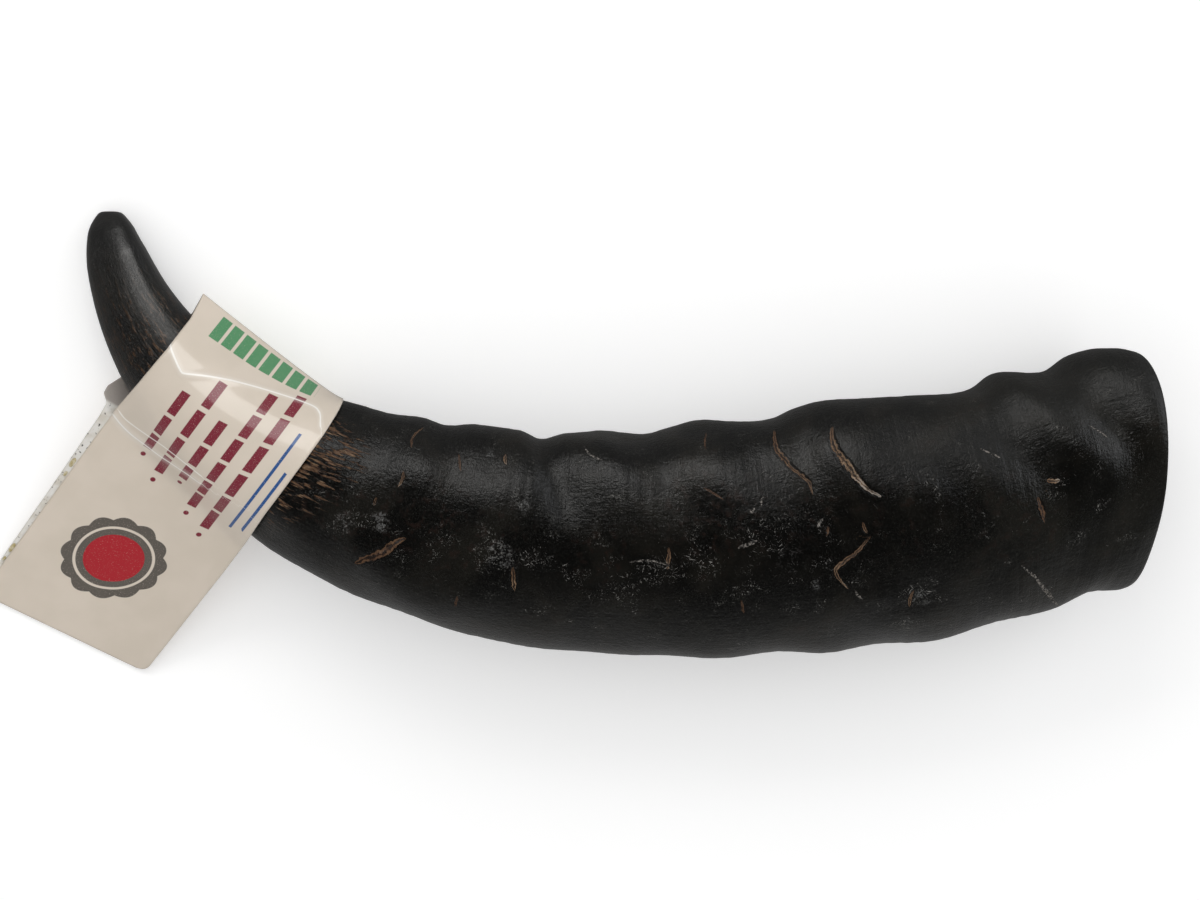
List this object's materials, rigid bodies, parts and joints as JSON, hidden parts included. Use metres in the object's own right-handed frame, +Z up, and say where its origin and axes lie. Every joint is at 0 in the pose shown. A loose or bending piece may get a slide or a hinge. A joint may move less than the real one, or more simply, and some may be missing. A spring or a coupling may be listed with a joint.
{
  "type": "buffalo horn",
  "caption": "Hollow black water-buffalo horn with growth rings and a curved solid tip, with a folded laminated label round its neck.",
  "frame": {"origin": "under the middle of the object's bounding box, on the surface that it lies on", "axes": "+X from the tip's end towards the sawn base, +Y towards the inside of the bend, +Z up"},
  "size_m": [0.3339, 0.1354, 0.0554],
  "materials": {
    "keratin": "natural black keratin, semi-gloss, with tan cracks and fibres and pale scuffs",
    "laminate": "off-white paper under clear glossy lamination, printed"
  },
  "bodies": {
    "root": {"horn": "keratin", "label": "laminate"}
  },
  "joints": []
}
